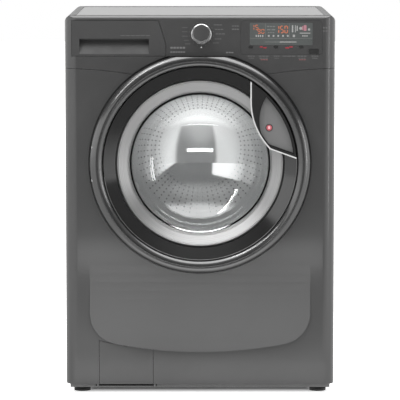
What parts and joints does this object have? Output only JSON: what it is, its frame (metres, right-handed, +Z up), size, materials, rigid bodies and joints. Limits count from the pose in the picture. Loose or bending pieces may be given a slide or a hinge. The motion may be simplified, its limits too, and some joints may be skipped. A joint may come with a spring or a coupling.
{
  "type": "front load washing machine",
  "caption": "Free-standing front-loading washing machine with a round glass door, a drawer at the left of its console, a program knob and a display.",
  "frame": {"origin": "on the floor, under the middle of the machine's box", "axes": "+Z up, the door faces -Y, +X to the right seen from the front"},
  "size_m": [0.6, 0.6, 0.845],
  "materials": {
    "painted_steel": "satin graphite paint",
    "zinc_steel": "galvanised",
    "console_plastic": "satin",
    "piano_black": "polished",
    "smoked_plastic": "polished",
    "silver_trim": "satin silver",
    "bright_trim": "polished",
    "door_glass": "polished",
    "grey_plastic": "fine texture",
    "white_plastic": "smooth",
    "blue_plastic": "smooth",
    "worktop_laminate": "smooth laminate",
    "gasket_rubber": "matte",
    "black_rubber": "matte",
    "drum_steel": "brushed",
    "bare_steel": "plain",
    "cast_aluminium": "cast",
    "cast_iron": "rough",
    "circuit_board": "smooth",
    "motor_steel": "plain"
  },
  "bodies": {
    "cabinet": {"left_side_panel": "painted_steel", "right_side_panel": "painted_steel", "rear_panel": "zinc_steel", "rear_access_cover": "zinc_steel", "front_panel": "painted_steel", "base_tray": "grey_plastic", "worktop": "worktop_laminate", "worktop_trim": "grey_plastic", "console": "console_plastic", "display_window": "smoked_plastic", "control_board": "circuit_board", "dispenser_housing": "white_plastic", "hinge_bracket": "bare_steel", "door_lock": "grey_plastic", "door_gasket": "gasket_rubber", "tub_front": "grey_plastic", "tub_rear": "grey_plastic", "drum_bearings": "bare_steel", "drive_belt": "black_rubber", "motor": "motor_steel", "heater": "bare_steel", "front_counterweight": "cast_iron", "top_counterweight": "cast_iron", "suspension_springs": "bare_steel", "dampers": "motor_steel", "drain_pump": "grey_plastic", "sump_hose": "black_rubber", "inlet_valve": "white_plastic", "dispenser_hose": "black_rubber", "drain_hose": "black_rubber", "mains_gland": "black_rubber"},
    "foot_front_left": {"foot_front_left": "black_rubber"},
    "foot_front_right": {"foot_front_right": "black_rubber"},
    "foot_rear_left": {"foot_rear_left": "black_rubber"},
    "foot_rear_right": {"foot_rear_right": "black_rubber"},
    "drawer": {"drawer_front": "console_plastic", "drawer_tray": "white_plastic", "siphon_cap": "blue_plastic"},
    "knob": {"program_knob": "piano_black", "knob_ring": "silver_trim"},
    "option_button_1": {"option_button_1": "smoked_plastic"},
    "option_button_2": {"option_button_2": "smoked_plastic"},
    "option_button_3": {"option_button_3": "smoked_plastic"},
    "start_button": {"start_button": "smoked_plastic"},
    "door": {"door_outer_ring": "piano_black", "door_inner_ring": "piano_black", "door_trim_ring": "silver_trim", "door_glass": "door_glass", "door_back_ring": "grey_plastic", "hinge_pin": "bare_steel", "handle_strip": "bright_trim"},
    "handle": {"handle_lever": "grey_plastic"},
    "latch": {"latch_hook": "bare_steel"},
    "drum": {"drum": "drum_steel", "drum_lifters": "white_plastic", "drum_spider": "cast_aluminium", "drum_pulley": "cast_aluminium"},
    "rotor": {"motor_pulley": "bare_steel"},
    "filter_cap": {"filter_cap": "white_plastic"},
    "filter_flap": {"filter_flap": "painted_steel"}
  },
  "joints": [
    {"name": "door_hinge", "type": "hinge", "parent": "cabinet", "child": "door", "pos_m": [-0.235, -0.289, 0.518], "axis": [0, 0, -1], "range_deg": [0, 110]},
    {"name": "handle_pull", "type": "hinge", "parent": "door", "child": "handle", "pos_m": [0.196, -0.284, 0.576], "axis": [0, 0, 1], "range_deg": [0, 12], "stiffness_Nm_per_rad": 0.6},
    {"name": "latch_turn", "type": "hinge", "parent": "door", "child": "latch", "pos_m": [0.207, -0.272, 0.518], "axis": [0, 0, 1], "range_deg": [0, 8]},
    {"name": "drawer_slide", "type": "slide", "parent": "cabinet", "child": "drawer", "axis": [0, -1, 0], "range_m": [0, 0.2]},
    {"name": "knob_turn", "type": "hinge", "parent": "cabinet", "child": "knob", "pos_m": [0.003, -0.27, 0.8046], "axis": [0, 1, 0], "continuous": true},
    {"name": "option_press_1", "type": "slide", "parent": "cabinet", "child": "option_button_1", "axis": [0, 1, 0], "range_m": [0, 0.0015], "stiffness_N_per_m": 400},
    {"name": "option_press_2", "type": "slide", "parent": "cabinet", "child": "option_button_2", "axis": [0, 1, 0], "range_m": [0, 0.0015], "stiffness_N_per_m": 400},
    {"name": "option_press_3", "type": "slide", "parent": "cabinet", "child": "option_button_3", "axis": [0, 1, 0], "range_m": [0, 0.0015], "stiffness_N_per_m": 400},
    {"name": "start_press", "type": "slide", "parent": "cabinet", "child": "start_button", "axis": [0, 1, 0], "range_m": [0, 0.0015], "stiffness_N_per_m": 500},
    {"name": "drum_spin", "type": "hinge", "parent": "cabinet", "child": "drum", "pos_m": [0, -0.03, 0.518], "axis": [0, 1, 0], "continuous": true},
    {"name": "motor_spin", "type": "hinge", "parent": "cabinet", "child": "rotor", "pos_m": [0.095, 0.21, 0.148], "axis": [0, 1, 0], "continuous": true},
    {"name": "filter_cap_turn", "type": "hinge", "parent": "cabinet", "child": "filter_cap", "pos_m": [-0.165, -0.254, 0.062], "axis": [0, -1, 0], "range_deg": [0, 180]},
    {"name": "filter_flap_hinge", "type": "hinge", "parent": "cabinet", "child": "filter_flap", "pos_m": [-0.165, -0.262, 0.0285], "axis": [1, 0, 0], "range_deg": [0, 90]},
    {"name": "foot_front_left_turn", "type": "hinge", "parent": "cabinet", "child": "foot_front_left", "pos_m": [-0.265, -0.224, 0.01], "axis": [0, 0, 1], "continuous": true},
    {"name": "foot_front_right_turn", "type": "hinge", "parent": "cabinet", "child": "foot_front_right", "pos_m": [0.265, -0.224, 0.01], "axis": [0, 0, 1], "continuous": true},
    {"name": "foot_rear_left_turn", "type": "hinge", "parent": "cabinet", "child": "foot_rear_left", "pos_m": [-0.265, 0.232, 0.01], "axis": [0, 0, 1], "continuous": true},
    {"name": "foot_rear_right_turn", "type": "hinge", "parent": "cabinet", "child": "foot_rear_right", "pos_m": [0.265, 0.232, 0.01], "axis": [0, 0, 1], "continuous": true}
  ],
  "couplings": [
    {"joint": "motor_spin", "follows": "drum_spin", "ratio": 12.416},
    {"joint": "latch_turn", "follows": "handle_pull", "ratio": 0.6667}
  ]
}
